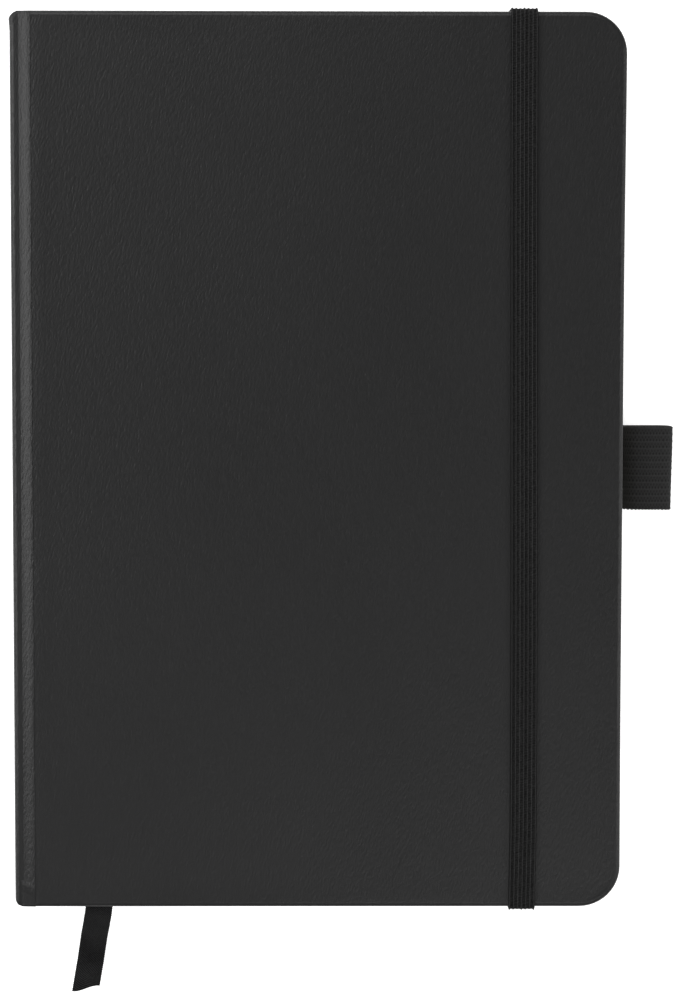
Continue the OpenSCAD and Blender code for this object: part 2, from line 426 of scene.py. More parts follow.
FINISHES = {
    Slot.LEATHERETTE: Leatherette(),
    Slot.ELASTIC: Elastic(),
    Slot.WEBBING: Webbing(),
    Slot.RIBBON: Satin(),
    Slot.ENDPAPER: Paper("Cream_Endpaper", (0.70, 0.66, 0.56), (0.82, 0.79, 0.69)),
    Slot.DRAWING_PAPER: Paper("Ivory_Drawing_Paper", (0.66, 0.63, 0.54), (0.86, 0.84, 0.76)),
    Slot.GREYBOARD: Fibre("Grey_Board", (0.22, 0.21, 0.19), (0.40, 0.38, 0.34), (0.8, 0.8, 0.3), 0.05),
    Slot.KRAFT: Fibre("Kraft_Lining", (0.30, 0.20, 0.11), (0.46, 0.34, 0.21), (0.5, 1.6, 0.5), 0.03),
    Slot.GAUZE: Fibre("Cotton_Gauze", (0.42, 0.40, 0.34), (0.78, 0.76, 0.70), (0.3, 0.3, 0.3), 0.08, 1.1),
    Slot.THREAD: Fibre("Linen_Thread", (0.50, 0.48, 0.40), (0.80, 0.78, 0.71), (0.1, 0.1, 0.5), 0.03),
    Slot.WOVEN_BAND: Fibre(
        "Woven_Bead", (0.008, 0.008, 0.008), (0.04, 0.04, 0.04), (0.2, 0.2, 0.2), 0.05, 0.55),
}


# ---------------------------------------------------------------- surfaces


def smooth(t: Array) -> Array:
    """Smoothstep: 3t squared less 2t cubed, with t held between 0 and 1."""
    t = np.clip(t, 0, 1)
    return t * t * (3 - 2 * t)


def weave_faces(rows: Array, wrap: bool) -> Array:
    """Quads between the neighbouring rows of a table of vertex numbers.

    Args:
        rows: vertex numbers, one row per line of the surface.
        wrap: whether each row closes on itself.

    Returns:
        Quads as rows of four vertex numbers.
    """
    a, b = rows[:-1], rows[1:]
    if wrap:
        a1, b1 = np.roll(a, -1, 1), np.roll(b, -1, 1)
    else:
        a, a1, b, b1 = a[:, :-1], a[:, 1:], b[:, :-1], b[:, 1:]
    return np.stack([a, a1, b1, b], -1).reshape(-1, 4)


def ladder(loop: Array) -> list[list[int]]:
    """Closes a symmetric loop with rungs from each point to its mirror point.

    Args:
        loop: vertex numbers, starting at one of the loop's two ends.

    Returns:
        Quads, with a triangle at each end.
    """
    half = len(loop) // 2
    left, right = loop[1:half], loop[:half:-1]
    rungs = np.stack([left[:-1], left[1:], right[1:], right[:-1]], -1)
    return rungs.tolist() + [[loop[0], left[0], right[0]], [left[-1], loop[half], right[-1]]]


def add_piece(
    name: str, points: Array, faces: list[Any], slot: Slot, materials: dict[Slot, bpy.types.Material],
    cloth: Array | None = None, crease: float = 38.0,
) -> bpy.types.Object:
    """Makes a mesh piece at the origin, with its faces turned outward and its finish on.

    Args:
        name: the piece's name.
        points: vertices in metres, in the row frame.
        faces: tables or lists of vertex numbers.
        slot: the finish that the piece takes.
        materials: the made finishes.
        cloth: the map across and along the cloth, in millimetres, one pair a vertex.
        crease: edges sharper than this angle, in degrees, are shaded as creases.

    Returns:
        The new object.
    """
    tables = [table.tolist() if isinstance(table, np.ndarray) else table for table in faces]
    listed = [face for table in tables for face in table]
    mesh = bpy.data.meshes.new(name)
    mesh.from_pydata(points.reshape(-1, 3).tolist(), [], listed)
    if cloth is not None:
        layer = mesh.uv_layers.new(name="cloth")
        corners = np.zeros(len(mesh.loops), np.int32)
        mesh.loops.foreach_get("vertex_index", corners)
        layer.data.foreach_set("uv", cloth.reshape(-1, 2)[corners].astype(np.float32).ravel())
    work = bmesh.new()
    work.from_mesh(mesh)
    bmesh.ops.recalc_face_normals(work, faces=work.faces)
    work.to_mesh(mesh)
    work.free()
    mesh.polygons.foreach_set("use_smooth", np.ones(len(mesh.polygons), bool))
    mesh.set_sharp_from_angle(angle=math.radians(crease))
    mesh.materials.append(materials[slot])
    piece = bpy.data.objects.new(name, mesh)
    bpy.context.scene.collection.objects.link(piece)
    LOG.info("made %s: %d faces", name, len(mesh.polygons))
    return piece


def rounded_grid(x0: float, x1: float, half_y: float, radius: float, spread: Array, across: int) -> Array:
    """A grid of points over a rectangle whose two corners at x1 are rounded.

    Columns stand at x0 to x1 less the radius by spread, then at the radius times the sine of
    even angles. A column's half height is half_y, less radius times one minus the cosine.

    Args:
        x0: the straight edge's place.
        x1: the rounded edge's place.
        half_y: half the height.
        radius: the corners' radius.
        spread: places of the straight part's columns, from 0 to 1.
        across: the number of rows.

    Returns:
        Points of shape (columns, rows, 2).
    """
    turn = np.linspace(0, math.pi / 2, 13)[1:]
    xs = np.concatenate([x0 + (x1 - radius - x0) * spread, x1 - radius + radius * np.sin(turn)])
    drop = np.concatenate([np.zeros(len(spread)), radius * (1 - np.cos(turn))])
    rows = np.linspace(-1, 1, across)
    ys = (half_y - drop)[:, None] * rows[None, :]
    return np.stack([np.broadcast_to(xs[:, None], ys.shape), ys], -1)


def rim(table: Array) -> Array:
    """The entries round the outside of a grid, once round."""
    return np.concatenate([table[:-1, 0], table[-1, :-1], table[:0:-1, -1], table[0, :0:-1]])


def close_plate(top: Array, rings: list[Array], under: Array) -> tuple[Array, list[Any]]:
    """Joins two grids through rings that go round their edges.

    Args:
        top: the first grid's points, (columns, rows, 3).
        rings: points round the edge, each as many as the grid's rim has.
        under: the last grid's points, of the same shape.

    Returns:
        All points, and the faces.
    """
    count = top.shape[0] * top.shape[1]
    numbers = np.arange(count).reshape(top.shape[:2])
    around = len(rim(numbers))
    last = numbers + count + around * len(rings)
    between = [count + around * k + np.arange(around) for k in range(len(rings))]
    loops = np.stack([rim(numbers), *between, rim(last)])
    points = np.concatenate([top.reshape(-1, 3), *rings, under.reshape(-1, 3)])
    return points, [weave_faces(numbers, False), weave_faces(loops, True), weave_faces(last, False)]


def sweep(path: Array, side: Array, up: Array, section: Array) -> Array:
    """Carries a section along a path: each point is path plus side times x plus up times y.

    Args:
        path: points of the path, (n, 3).
        side: the section's first direction at each point, (n, 3).
        up: the section's second direction at each point, (n, 3).
        section: the section's points, (m, 2) or (n, m, 2).

    Returns:
        Points of shape (n, m, 3).
    """
    section = np.broadcast_to(section, (len(path), *section.shape[-2:]))
    return path[:, None] + side[:, None] * section[..., :1] + up[:, None] * section[..., 1:]


def tube_faces(shape: tuple[int, ...]) -> list[Any]:
    """Faces of a swept tube of that many rings and points, with both ends closed."""
    numbers = np.arange(shape[0] * shape[1]).reshape(shape[:2])
    return [weave_faces(numbers, True), ladder(numbers[0]), ladder(numbers[-1])]


def even_path(knots: Array, step: float) -> Array:
    """A smooth line through the knots, resampled at even steps.

    Between two knots the line is the Catmull-Rom cubic of the four nearest knots.

    Args:
        knots: the points to pass through, (n, 3).
        step: the distance between the points given back, in metres.

    Returns:
        Points along the line.
    """
    padded = np.concatenate([[2 * knots[0] - knots[1]], knots, [2 * knots[-1] - knots[-2]]])
    a, b, c, d = padded[:-3, None], padded[1:-2, None], padded[2:-1, None], padded[3:, None]
    t = np.linspace(0, 1, 24, endpoint=False)[None, :, None]
    line = 0.5 * (2 * b + (c - a) * t + (2 * a - 5 * b + 4 * c - d) * t**2 + (3 * b - a - 3 * c + d) * t**3)
    line = np.concatenate([line.reshape(-1, 3), knots[-1:]])
    run = np.concatenate([[0], np.cumsum(np.linalg.norm(np.diff(line, axis=0), axis=1))])
    wanted = np.linspace(0, run[-1], max(2, int(round(run[-1] / step)) + 1))
    return np.stack([np.interp(wanted, run, line[:, k]) for k in range(3)], -1)


def lengths(path: Array) -> Array:
    """Distance along a path at each of its points."""
    return np.concatenate([[0], np.cumsum(np.linalg.norm(np.diff(path, axis=0), axis=1))])


def unit(vectors: Array) -> Array:
    """Vectors of length one."""
    return vectors / np.linalg.norm(vectors, axis=-1, keepdims=True)


def cloth_map(across: Array, run: Array) -> Array:
    """A swept piece's map, in millimetres: across its section and along its run."""
    return np.stack(np.broadcast_arrays(across[None] / MM, run[:, None] / MM), -1)


def strip_section(across: Array, top: Array, under: Array, edge: float) -> Array:
    """A strip's section, from one edge over the top to the other and back beneath.

    Args:
        across: places across the strip.
        top: the upper face's height at each place.
        under: the lower face's height at each place.
        edge: the height of the two edge points.

    Returns:
        Points, (m, 2).
    """
    over = np.stack([across, top], -1)[1:-1]
    beneath = np.stack([across, under], -1)[1:-1][::-1]
    return np.concatenate([[[across[0], edge]], over, [[across[-1], edge]], beneath])


def waves(x: Array, y: Array, seed: int, size: float) -> Array:
    """A gentle unevenness: the mean of six sine waves with seeded directions and phases.

    Args:
        x: places along X, in metres.
        y: places along Y, in metres.
        seed: the seed.
        size: the middle wave length, in metres.

    Returns:
        Heights between about -1 and 1.
    """
    rng = np.random.default_rng(seed)
    angle, phase = rng.uniform(0, math.pi, 6), rng.uniform(0, 2 * math.pi, 6)
    rate = 2 * math.pi / (size * rng.uniform(0.6, 1.7, 6))
    along = x[..., None] * np.cos(angle) + y[..., None] * np.sin(angle)
    return np.sin(along * rate + phase).mean(-1) * 1.6


# ---------------------------------------------------------------- the studio


@dataclass
class Studio:
    """A pale floor, soft lights and the camera over the book."""

    distance: float = 0.750
    stand_x: float = -0.0014
    stand_y: float = 0.0504
    tilt: tuple[float, float, float] = (-4.598, -0.528, 0.087)
    lens: float = 111.53
    sensor: float = 36.0
    floor_size: float = 14.0
    floor_glow: float = 0.75
    floor_tooth: float = 0.01 * MM
    sky: float = 0.12

    def place_camera(self) -> None:
        """Hangs the camera over the book, a little towards the head, looking down."""
        data = bpy.data.cameras.new("Overhead_Camera")
        data.lens, data.sensor_width, data.clip_start = self.lens, self.sensor, 0.01
        camera = bpy.data.objects.new("Overhead_Camera", data)
        camera.location = (self.stand_x, self.stand_y, self.distance)
        camera.rotation_euler = [math.radians(a) for a in self.tilt]
        bpy.context.scene.collection.objects.link(camera)
        bpy.context.scene.camera = camera

    def lay_floor(self) -> None:
        """Lays a white floor that glows a little, so that it stays pale round the book."""
        g = Graph("Studio_Floor")
        shade = g.noise(g.place((0.8, 0.8, 0.8)), 1.0)
        colour = g.tint(shade, (0.90, 0.90, 0.90), (0.93, 0.93, 0.93))
        material = g.finish(
            colour, 0.9, shade, self.floor_tooth, Specular_IOR_Level=0.0, Emission_Strength=self.floor_glow)
        material.node_tree.nodes["Principled BSDF"].inputs["Emission Color"].default_value = (1, 1, 1, 1)
        mesh = bpy.data.meshes.new("floor")
        half = self.floor_size / 2
        corners = [(-half, -half, 0), (half, -half, 0), (half, half, 0), (-half, half, 0)]
        mesh.from_pydata(corners, [], [(0, 1, 2, 3)])
        mesh.materials.append(material)
        floor = bpy.data.objects.new("floor", mesh)
        bpy.context.scene.collection.objects.link(floor)

    def hang_light(self, name: str, place: Sequence[float], size: float, power: float) -> None:
        """Hangs a square soft light that faces the book.

        Args:
            name: the light's name.
            place: where it hangs, in metres.
            size: the length of its side.
            power: its power in watts.
        """
        data = bpy.data.lights.new(name, "AREA")
        data.energy, data.size = power, size
        lamp = bpy.data.objects.new(name, data)
        lamp.location = place
        lamp.rotation_euler = (-Vector(place)).to_track_quat("-Z", "Y").to_euler()
        bpy.context.scene.collection.objects.link(lamp)

    def light(self) -> None:
        """Sets the pale surroundings and a soft light on each of the four sides."""
        world = bpy.data.worlds.new("Pale_Room")
        world.use_nodes = True
        background = world.node_tree.nodes["Background"]
        background.inputs["Color"].default_value = (1.0, 1.0, 1.0, 1.0)
        background.inputs["Strength"].default_value = self.sky
        bpy.context.scene.world = world
        bpy.context.scene.view_settings.view_transform = "Standard"
        self.hang_light("Left_Softbox", (-0.75, 0.10, 0.66), 0.6, 5.8)
        self.hang_light("Right_Softbox", (0.85, -0.1, 0.55), 0.6, 2.9)
        self.hang_light("Head_Softbox", (-0.15, 0.75, 0.78), 0.6, 4.2)
        self.hang_light("Tail_Softbox", (0.2, -0.6, 0.9), 0.45, 2.2)

    def build(self) -> None:
        """Sets up the whole studio."""
        self.place_camera()
        self.lay_floor()
        self.light()


# ---------------------------------------------------------------- the book


@dataclass
class Case:
    """The two covers, the spine and the joints, in leatherette over board."""

    bevel: tuple[tuple[float, float], ...] = (
        (1.15, 0.0), (1.0, 0.012), (0.87, 0.045), (0.7, 0.11), (0.5, 0.2), (0.33, 0.3), (0.18, 0.43),
        (0.06, 0.62), (0.0, 0.9))
    inner_round: float = 0.7 * MM
    skin: float = 0.48 * MM
    turn_in: float = 2.95 * MM
    lap: float = 0.28 * MM
    wall: float = 0.3 * MM
    column_gap: float = 1.5 * MM
    corner: float = 9.75 * MM
    flare: float = 0.25 * MM
    unevenness: float = 0.10 * MM
    groove: float = 0.8 * MM
    board_drop: float = 0.12 * MM
    board_ease: float = 2.2 * MM
    valley_x: float = 2.1 * MM
    edge_x: float = 1.15 * MM
    edge_z: float = 1.3 * MM
    trim: float = 0.05 * MM
    head_run: float = 3.0 * MM
    tail_run: float = 1.4 * MM
    cap_rise: float = 1.2 * MM
    joint_t: float = 0.46 * MM
    lap_drop: float = 0.08 * MM
    spine_t: float = 1.4 * MM
    cap_power: float = 2.4
    swell: float = 0.22 * MM
    swell_at: float = 2.2 * MM
    swell_half: float = 1.1 * MM
    fold_at: float = 7.4 * MM
    fold_slant: float = 2.6 * MM
    fold_soft: float = 1.5 * MM
    crease_at: float = 4.4 * MM
    crease_slant: float = 2.4 * MM
    crease_half: float = 0.7 * MM
    crease_depth: float = 0.05 * MM
    shallow: float = 0.3 * MM
    head_soft: float = 1.4 * MM
    edge_fade: float = 6 * MM
    joint_fade: float = 4 * MM
    wave_size: float = 70 * MM
    hem_steps: int = 5
    long_rows: int = 150
    back_seed: int = 5
    front_seed: int = 11

    def __post_init__(self) -> None:
        """Reads the covers' box from the frame."""
        low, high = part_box("front_cover_skin")
        self.board_x, self.fore_x, self.half_y, self.top = low.x, high.x, high.y, high.z
        self.cover_t = high.z - low.z
        self.spine_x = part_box("spine_skin")[0].x

    def cover_shell(self, seed: int) -> tuple[Array, list[Any]]:
        """Leatherette wrapped round a board, outer face down at height 0.

        Rings of the rounded outline go from the outer face over a softened bevel, up the edge,
        round a small quarter circle, in along the turned-in margin and back inside over the
        board. Heights on the outer face carry a slight unevenness, and the fore-edge flares
        by a smoothstep towards its corners.

        Args:
            seed: the seed of the unevenness.

        Returns:
            Points and faces.
        """
        turn = np.linspace(0, math.pi / 2, 8)
        i, t, e = self.inner_round, self.cover_t, self.bevel[0][0] * MM
        outer = [(inset * MM, depth * MM, 0.0) for inset, depth in self.bevel[1:]]
        outer += [(i - i * math.cos(a), t - i + i * math.sin(a), 0.0) for a in turn]
        inside = [(self.turn_in, t, 0.0), (self.turn_in, t - self.lap, self.wall)]
        inside += [(self.skin, t - self.lap, self.wall)]
        count = int((self.fore_x - self.corner - self.board_x) / self.column_gap)
        spread, rows = np.linspace(0, 1, count), int(2 * self.half_y / self.column_gap)

        def outline(inset: float, left: float) -> Array:
            """The cover's outline, stepped in from its edges."""
            grid = rounded_grid(self.board_x + left, self.fore_x - inset, self.half_y - inset,
                                self.corner - inset, spread, rows)
            place = grid[..., 1] / self.half_y
            ends = smooth(place * 1.6 - 0.6) + 0.5 * smooth(-place * 2 - 1)
            grid[..., 0] += self.flare * ends * smooth(grid[..., 0] / self.fore_x)
            return grid

        def raised(grid: Array, height: Any) -> Array:
            """A grid of plan points, put at a height."""
            return np.concatenate([grid, np.broadcast_to(height, grid.shape[:-1])[..., None]], -1)

        face = outline(e, 0.0)
        edge = np.minimum(self.fore_x - face[..., 0], self.half_y - np.abs(face[..., 1]))
        from_board = face[..., 0] - self.board_x
        fade = smooth(edge / self.edge_fade) * smooth(from_board / self.joint_fade)
        bend = self.board_drop * np.clip(1 - from_board / self.board_ease, 0, 1) ** 2
        swell = np.maximum(0, 0.8 + waves(face[..., 0], face[..., 1], seed, self.wave_size))
        top = raised(face, bend + self.unevenness * swell * fade)
        rings = [rim(raised(outline(inset, left), height)) for inset, height, left in outer + inside]
        return close_plate(top, rings, raised(outline(self.skin, self.wall), self.skin))

    def hem(
        self, outer: Array, depth: Array, half_y: Array, drop: Array, spread: Array,
    ) -> tuple[Array, list[Any]]:
        """A strip along the book with rounded hems at head and tail.

        The section's points are carried from tail to head on the outside, round a half circle
        of half the depth, back on the inside and round again.

        Args:
            outer: the section's outer line in x and z, (n, 2).
            depth: the strip's thickness at each point of the line.
            half_y: the strip's reach to the tail and to the head at each point, (n, 2).
            drop: how far the outer line sinks at each point, (n, rows), from tail to head.
            spread: places of the rows, from -1 at the tail to 1 at the head.

        Returns:
            Points and faces.
        """
        along = np.gradient(outer, axis=0)
        normal = unit(np.stack([-along[:, 1], along[:, 0]], -1))
        rows = drop.shape[1]
        r = (depth / 2)[:, None]
        arc = np.linspace(0, math.pi, self.hem_steps + 2)[None, 1:-1]
        flat = spread[None]
        tail, head = half_y[:, :1] - r, half_y[:, 1:] - r
        level = np.where(flat < 0, tail, head) * flat
        ys = np.concatenate([level, head + r * np.sin(arc), level[:, ::-1], -tail - r * np.sin(arc)], 1)
        ones = np.ones((1, rows))
        off = np.concatenate([0 * r * ones, r * (1 - np.cos(arc)), 2 * r * ones, r * (1 + np.cos(arc))], 1)
        ends = np.concatenate(
            [drop, drop[:, -1:] * np.ones((1, self.hem_steps)), drop[:, ::-1],
             drop[:, :1] * np.ones((1, self.hem_steps))], 1)
        points = np.stack([
            outer[:, :1] - normal[:, :1] * off, ys, outer[:, 1:] - normal[:, 1:] * off - ends], -1)
        start = self.hem_steps // 2 + 1
        points = np.roll(points, start, 1)
        return points, tube_faces(points.shape)

    def groove_depth(self, x: Array) -> Array:
        """Depth below the cover's face across the joint.

        It is level from the spine's edge to the valley, then a long ramp rises to the board,
        partly as a smoothstep and partly straight.

        Args:
            x: places across the joint.

        Returns:
            Depths in metres.
        """
        valley = self.spine_x + self.valley_x
        ramp = np.clip((x - valley) / (self.board_x - valley), 0, 1)
        rise = 0.35 * ramp + 0.65 * smooth(ramp)
        return self.board_drop + (self.groove - self.board_drop) * (1 - rise)

    def fill(self, rows: Array, x: Array) -> Array:
        """How far the groove is filled at the tail and the head, where the folds thicken it.

        Args:
            rows: places along the book, from -1 at the tail to 1 at the head.
            x: places across the joint.

        Returns:
            Heights to add, (len(x), len(rows)).
        """
        near = np.clip((x - self.spine_x) / (self.board_x - self.spine_x), 0, 1)[:, None]
        from_tail = (1 + rows) * self.half_y
        tail = smooth((self.fold_at - self.fold_slant * near - from_tail) / self.fold_soft)
        middle = self.crease_at - self.crease_slant * near
        crease = smooth(1 - np.abs(from_tail - middle) / self.crease_half)
        head = smooth(1 - (1 - rows) * self.half_y / self.head_soft)
        depth = self.groove_depth(x)[:, None]
        cut = self.crease_depth * crease * np.minimum(1, depth / self.shallow)
        return depth * (0.72 * tail + 0.3 * head) - cut

    def joint(self) -> tuple[Array, list[Any]]:
        """The front joint's strip, from under the spine's edge to the board."""
        x = np.linspace(self.spine_x + self.valley_x - 0.5 * MM, self.board_x, 19)
        rows = np.unique(np.concatenate([np.linspace(-1, 1, self.long_rows), np.linspace(-1, -0.92, 40)]))
        under = self.lap_drop * (1 - smooth((x - x[0]) / (0.9 * MM)))
        outer = np.stack([x, self.top - self.groove_depth(x) - under], -1)
        depth = np.full(len(x), self.joint_t)
        half_y = np.full((len(x), 2), self.half_y - self.trim)
        return self.hem(outer, depth, half_y, -self.fill(rows, x), rows)

    def spine(self) -> tuple[Array, list[Any]]:
        """The spine with the back joint, as one strip that goes round the spine board.

        The line starts at the back board, goes down its ramp and round a quarter ellipse, up
        the spine, round again and level to the front valley. It is thicker over the spine board.

        Returns:
            Points and faces.
        """
        back = np.linspace(self.board_x, self.spine_x + self.valley_x, 16)
        turn = np.linspace(0, math.pi / 2, 10)
        round_x = self.spine_x + self.edge_x * (1 - np.sin(turn))
        round_z = self.groove + self.edge_z * (1 - np.cos(turn))
        side = np.linspace(round_z[-1], self.top - round_z[-1], 14)[1:-1]
        level = np.linspace(self.spine_x + self.edge_x, self.spine_x + self.valley_x, 7)[1:]
        xs = np.concatenate([back, round_x, np.full(len(side), self.spine_x), round_x[::-1], level])
        zs = np.concatenate([self.groove_depth(back), round_z, side, self.top - round_z[::-1],
                             np.full(len(level), self.top - self.groove)])
        zs = np.maximum(zs, 0.04 * MM)
        near = smooth((self.spine_x + self.valley_x - 0.2 * MM - xs) / (0.8 * MM))
        depth = self.joint_t + (self.spine_t - self.joint_t) * near
        runs = np.array([self.tail_run, self.head_run])
        cap = np.clip((self.spine_x + runs - xs[:, None]) / runs, 0, 1)
        half_y = self.half_y - self.trim - self.cap_rise * (1 - np.sqrt(1 - cap**self.cap_power))
        rows = np.linspace(-1, 1, self.long_rows)
        points, faces = self.hem(np.stack([xs, zs], -1), depth, half_y, np.zeros((len(xs), len(rows))), rows)
        from_head = self.half_y - points[..., 1]
        swell = self.swell * np.exp(-(((from_head - self.swell_at) / self.swell_half) ** 2))
        points[..., 0] -= swell * near[:, None]
        return points, faces

    def build(self, materials: dict[Slot, bpy.types.Material]) -> None:
        """Makes the covers, the joint and the spine.

        Args:
            materials: the made finishes.
        """
        points, faces = self.cover_shell(self.back_seed)
        back = add_piece("back_cover_leatherette", points, faces, Slot.LEATHERETTE, materials)
        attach(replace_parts(back, "back_cover_skin"), Body.BOOK.value)
        points, faces = self.cover_shell(self.front_seed)
        points[:, 2] = self.top - points[:, 2]
        front = add_piece("front_cover_leatherette", points, faces, Slot.LEATHERETTE, materials)
        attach(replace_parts(front, "front_cover_skin"), Body.COVER.value)
        spine = add_piece("spine_leatherette", *self.spine(), Slot.LEATHERETTE, materials, crease=60.0)
        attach(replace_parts(spine, "spine_skin", "back_joint_skin"), Body.BOOK.value)
        joint = add_piece("front_joint_leatherette", *self.joint(), Slot.LEATHERETTE, materials, crease=60.0)
        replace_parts(joint, "front_joint_skin")
        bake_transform(joint)


@dataclass
class Pages:
    """The leaves that turn, the front endpaper and the small parts at the spine's ends."""

    corner: float = 7 * MM
    bend: float = 7.0 * MM
    leaf_names: tuple[str, ...] = ("front_flyleaf", "leaf_1", "leaf_2", "leaf_3", "leaf_4", "leaf_5")
    bead_radius: float = 0.72 * MM
    bead_pitch: float = 0.55 * MM
    bead_swell: float = 0.07
    bead_fill: float = 0.93
    columns: int = 70
    rows: int = 48
    paste_lap: float = 1.5 * MM

    def sheet(self, x0: float, x1: float, half_y: float, low: float, high: float) -> tuple[Array, list[Any]]:
        """A sheet of paper with two rounded corners.

        Columns crowd towards the gutter as the square of an even spacing.

        Args:
            x0: the gutter edge.
            x1: the fore-edge.
            half_y: half the height.
            low: the lower face's height.
            high: the upper face's height.

        Returns:
            Points and faces.
        """
        plan = rounded_grid(x0, x1, half_y, self.corner, np.linspace(0, 1, self.columns) ** 2, self.rows)
        heights = [np.full(plan.shape[:-1] + (1,), z) for z in (high, low)]
        top, under = (np.concatenate([plan, z], -1) for z in heights)
        return close_plate(top, [], under)

    def bead(self, node: str) -> tuple[Array, list[Any]]:
        """A woven bead: a cylinder whose radius swells once per turn of thread.

        The radius is the bead's radius times 1 plus the swell times the absolute sine of the
        height, and it closes at both ends by a square root.

        Args:
            node: the CAD node that it stands for.

        Returns:
            Points and faces.
        """
        low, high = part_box(node)
        middle = (low + high) / 2
        z = np.linspace(low.z, high.z, 160)
        angle = np.linspace(0, 2 * math.pi, 20, endpoint=False)
        turns = math.pi * z[:, None] / self.bead_pitch + angle[None] * 0.5
        wrap = 1 + self.bead_swell * np.abs(np.sin(turns))
        close = np.sqrt(np.clip(np.minimum(z - low.z, high.z - z) / self.bead_radius, 0.02, 1))[:, None]
        r = self.bead_radius * self.bead_fill * wrap * close
        points = np.stack([middle.x + r * np.cos(angle), middle.y + r * np.sin(angle),
                           np.broadcast_to(z[:, None], r.shape)], -1)
        return points, tube_faces(points.shape)

    def build(self, materials: dict[Slot, bpy.types.Material]) -> None:
        """Makes the turning leaves, the front endpaper and the beads.

        Args:
            materials: the made finishes.
        """
        for name in self.leaf_names:
            low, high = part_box(name)
            kind = Slot.ENDPAPER if name == "front_flyleaf" else Slot.DRAWING_PAPER
            points, faces = self.sheet(low.x, high.x, high.y, low.z, high.z)
            leaf = add_piece(f"{name}_paper", points, faces, kind, materials)
            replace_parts(leaf, name)
            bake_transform(leaf)
        low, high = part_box("front_pastedown")
        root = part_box("front_flyleaf")[0].x
        points, faces = self.sheet(root, high.x, high.y, low.z, high.z)
        paste = add_piece("front_pastedown_paper", points, faces, Slot.ENDPAPER, materials)
        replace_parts(paste, "front_pastedown")
        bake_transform(paste)
        for node in ("headband", "tailband"):
            piece = add_piece(f"{node}_bead", *self.bead(node), Slot.WOVEN_BAND, materials, crease=80.0)
            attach(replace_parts(piece, node), Body.BOOK.value)


@dataclass
class ClosureBand:
    """The ribbed elastic that holds the book shut."""

    thick: float = 0.86 * MM
    ribs: int = 6
    ridge: float = 0.30 * MM
    edge: float = 0.3 * MM
    step: float = 0.8 * MM
    end_depth: float = 5.0 * MM
    ridge_half: float = 0.19
    bulge: float = 0.09 * MM
    base: float = 0.62
    edge_z: float = 0.15 * MM
    rib_points: int = 11
    low_r: float = 0.45 * MM
    top_r: float = 1.0 * MM
    clear: float = 0.08 * MM
    stray: float = 0.4 * MM
    bend_z: float = 4.2 * MM

    def __post_init__(self) -> None:
        """Reads the band's place from the frame."""
        low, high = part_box("closure_band_front")
        self.x = (low.x + high.x) / 2
        self.width = high.x - low.x
        self.run_z = low.z
        self.edge_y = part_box("front_cover_skin")[1].y
        self.cover_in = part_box("back_cover_skin")[1].z

    def route(self) -> Array:
        """The inner face's line over head and tail, from one glued end to the other.

        At the head it leaves the back cover's inner side, turns round a quarter circle, rises,
        turns over the front cover's rounded edge by another quarter circle and runs level.

        Returns:
            Points, (n, 3).
        """
        quarter = np.linspace(0, math.pi / 2, 9)
        low_r, top_r = self.low_r, self.top_r
        leg_y = self.edge_y + self.clear
        foot = self.cover_in + self.thick + low_r
        knots = [(leg_y - self.end_depth, self.cover_in - 0.95 * MM),
                 (leg_y - 3.2 * MM, self.cover_in - 0.35 * MM),
                 (leg_y - 1.8 * MM, self.cover_in + 0.75 * self.thick)]
        knots += [(leg_y - low_r + low_r * math.sin(a), foot - low_r * math.cos(a)) for a in quarter]
        knots += [(leg_y, z) for z in np.linspace(foot, self.run_z - top_r, 12)[1:-1]]
        high_y, high_z = leg_y - top_r, self.run_z - top_r
        knots += [(high_y + top_r * math.cos(a), high_z + top_r * math.sin(a)) for a in quarter]
        half = np.array(knots)
        level = np.linspace(half[-1, 0], -half[-1, 0], 70)[1:-1]
        run = np.stack([level, np.full(len(level), self.run_z)], -1)
        both = np.concatenate([half, run, half[::-1] * (-1, 1)])
        return np.stack([np.full(len(both), self.x), both[:, 0], both[:, 1]], -1)

    def drift(self, y: Array) -> Array:
        """How far the band strays sideways: towards the spine at the head, back near the tail."""
        head, tail = smooth((y + 80 * MM) / (190 * MM)), smooth((-y - 85 * MM) / (25 * MM))
        return self.stray * (1 - 2 * head - 0.7 * tail)

    def section(self) -> Array:
        """The elastic's section: flat below, with a narrow ridge over each seam between ribs.

        The top is a share of the thickness, plus a ridge at each rib's edge in the shape of a bell,
        plus a low bulge between ridges in the shape of a sine.

        Returns:
            Points from one edge over the top to the other and back beneath.
        """
        count = self.ribs * self.rib_points
        t = np.linspace(0, 1, count + 1)
        place = (t * self.width - self.edge) * self.ribs / (self.width - 2 * self.edge)
        near = np.abs(place - np.round(place))
        even = 1 + 0.35 * np.sin(place * 2.1 + 0.8)
        bell = np.exp(-((near / self.ridge_half) ** 2))
        top = self.base * self.thick + self.ridge * even * bell + self.bulge * np.sin(near * math.pi)
        top *= np.clip(np.sqrt(np.minimum(t, 1 - t) * 45), 0.35, 1)
        return strip_section((t - 0.5) * self.width, top, np.zeros(count + 1), self.edge_z)

    def build(self, materials: dict[Slot, bpy.types.Material]) -> None:
        """Makes the band as one piece that runs from the book round to its front run.

        Args:
            materials: the made finishes.
        """
        path = even_path(self.route(), self.step)
        tangent = unit(np.gradient(path, axis=0))
        side = np.broadcast_to([1.0, 0.0, 0.0], path.shape)
        out = unit(np.cross(side, tangent))
        out *= np.sign(out[len(out) // 2, 2])
        section = self.section()
        points = sweep(path + side * self.drift(path[:, 1])[:, None], side, out, section)
        cloth = cloth_map(section[:, 0] + self.width / 2 - self.edge, lengths(path))
        faces = tube_faces(points.shape)
        band = add_piece("closure_band_elastic", points, faces, Slot.ELASTIC, materials, cloth, CLOTH_CREASE)
        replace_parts(band, "closure_band_front", "closure_band_head_leg", "closure_band_tail_leg",
                    "closure_band_head_end", "closure_band_tail_end")
        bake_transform(band)


